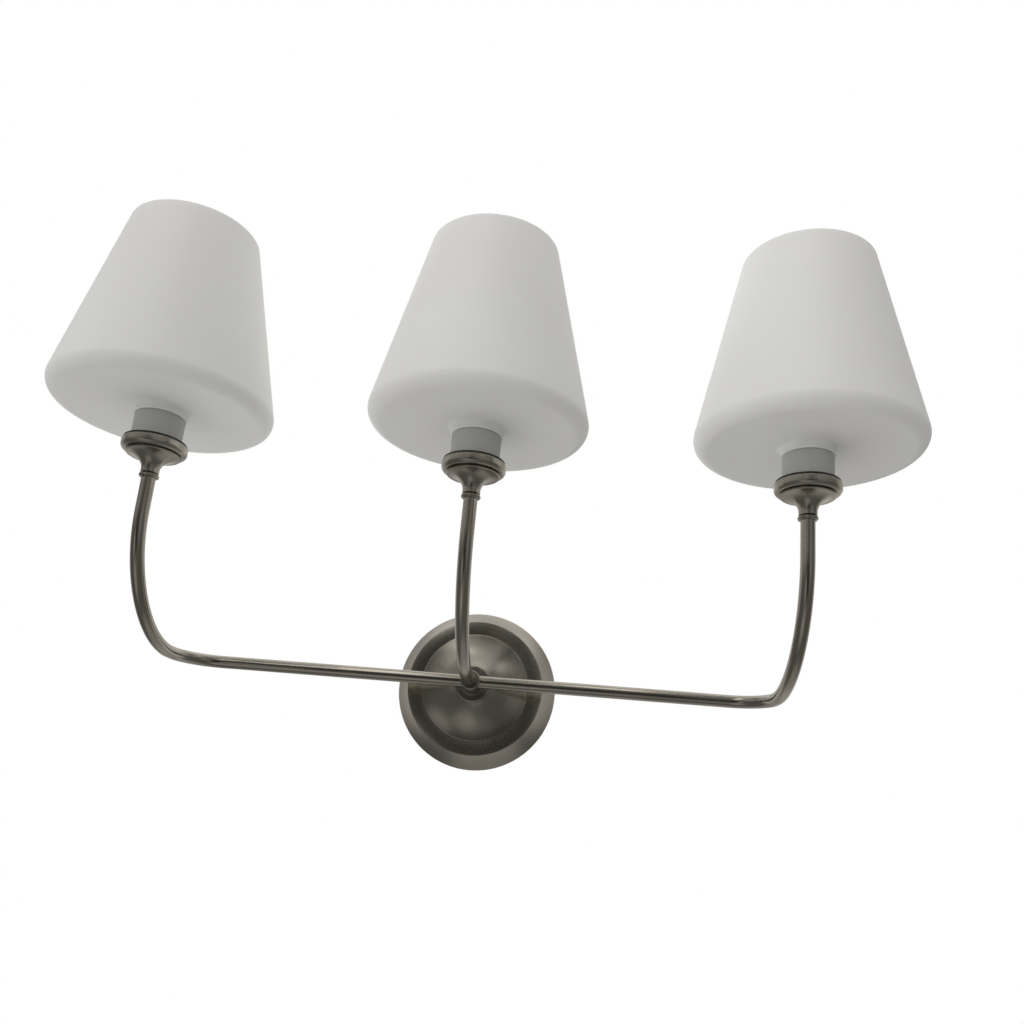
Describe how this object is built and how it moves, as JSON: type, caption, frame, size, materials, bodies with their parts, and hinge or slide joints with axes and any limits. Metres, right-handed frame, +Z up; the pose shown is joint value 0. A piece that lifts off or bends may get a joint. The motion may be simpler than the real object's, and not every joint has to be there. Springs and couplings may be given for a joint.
{
  "type": "vanity light bar",
  "caption": "Wall vanity light: round domed canopy, bent tube arms sweeping forward and up, trumpet cups and tapered opal glass shades open at the top.",
  "frame": {"origin": "middle of the mounting slots, in the wall plane at the centre of the canopy's back", "axes": "+X along the fixture, +Y into the wall, +Z up; the fixture stands in front of the wall towards -Y"},
  "size_m": [0.595, 0.244, 0.3574],
  "materials": {
    "brushed_nickel": "warm satin brushed nickel plate",
    "zinc_steel": "bright zinc plated steel",
    "green_screw": "green dyed zinc plate",
    "connector_plastic": "moulded nylon",
    "opal_glass": "satin opal glass, solid white",
    "white_phenolic": "moulded, slightly satin",
    "white_sleeve": "smooth moulded sleeve",
    "porcelain": "white glaze",
    "shell_metal": "nickel plated brass",
    "contact_brass": "bright brass",
    "black_rubber": "matte black",
    "wire_insulation": "thin insulation, white and black leads"
  },
  "bodies": {
    "root": {"canopy": "brushed_nickel", "canopy_collar": "brushed_nickel", "crossbar": "zinc_steel", "hickey": "zinc_steel", "hickey_screw": "zinc_steel", "ground_screw": "green_screw", "stem": "zinc_steel", "stem_locknut": "zinc_steel", "hub": "brushed_nickel", "wire_connectors": "connector_plastic", "arm_left": "brushed_nickel", "arm_centre": "brushed_nickel", "arm_right": "brushed_nickel", "wires_left": "wire_insulation", "wires_centre": "wire_insulation", "wires_right": "wire_insulation", "sleeve_left": "white_sleeve", "socket_body_left": "porcelain", "screw_shell_left": "shell_metal", "centre_contact_left": "contact_brass", "terminal_screws_left": "contact_brass", "gasket_left": "black_rubber", "cup_rim_left": "brushed_nickel", "bell_left": "brushed_nickel", "bead_collar_left": "brushed_nickel", "nipple_left": "zinc_steel", "cup_locknut_left": "zinc_steel", "sleeve_centre": "white_sleeve", "socket_body_centre": "porcelain", "screw_shell_centre": "shell_metal", "centre_contact_centre": "contact_brass", "terminal_screws_centre": "contact_brass", "gasket_centre": "black_rubber", "cup_rim_centre": "brushed_nickel", "bell_centre": "brushed_nickel", "bead_collar_centre": "brushed_nickel", "nipple_centre": "zinc_steel", "cup_locknut_centre": "zinc_steel", "sleeve_right": "white_sleeve", "socket_body_right": "porcelain", "screw_shell_right": "shell_metal", "centre_contact_right": "contact_brass", "terminal_screws_right": "contact_brass", "gasket_right": "black_rubber", "cup_rim_right": "brushed_nickel", "bell_right": "brushed_nickel", "bead_collar_right": "brushed_nickel", "nipple_right": "zinc_steel", "cup_locknut_right": "zinc_steel"},
    "shade_left": {"shade_left": "opal_glass"},
    "ring_left": {"shade_ring_left": "white_phenolic"},
    "shade_centre": {"shade_centre": "opal_glass"},
    "ring_centre": {"shade_ring_centre": "white_phenolic"},
    "shade_right": {"shade_right": "opal_glass"},
    "ring_right": {"shade_ring_right": "white_phenolic"}
  },
  "joints": [
    {"name": "lift_shade_left", "type": "slide", "parent": "root", "child": "shade_left", "axis": [0, 0, 1], "range_m": [0, 0.045]},
    {"name": "turn_ring_left", "type": "hinge", "parent": "shade_left", "child": "ring_left", "pos_m": [-0.222, -0.1685, 0.1625], "axis": [0, 0, 1], "continuous": true},
    {"name": "lift_shade_centre", "type": "slide", "parent": "root", "child": "shade_centre", "axis": [0, 0, 1], "range_m": [0, 0.045]},
    {"name": "turn_ring_centre", "type": "hinge", "parent": "shade_centre", "child": "ring_centre", "pos_m": [0, -0.1685, 0.1625], "axis": [0, 0, 1], "continuous": true},
    {"name": "lift_shade_right", "type": "slide", "parent": "root", "child": "shade_right", "axis": [0, 0, 1], "range_m": [0, 0.045]},
    {"name": "turn_ring_right", "type": "hinge", "parent": "shade_right", "child": "ring_right", "pos_m": [0.222, -0.1685, 0.1625], "axis": [0, 0, 1], "continuous": true}
  ]
}
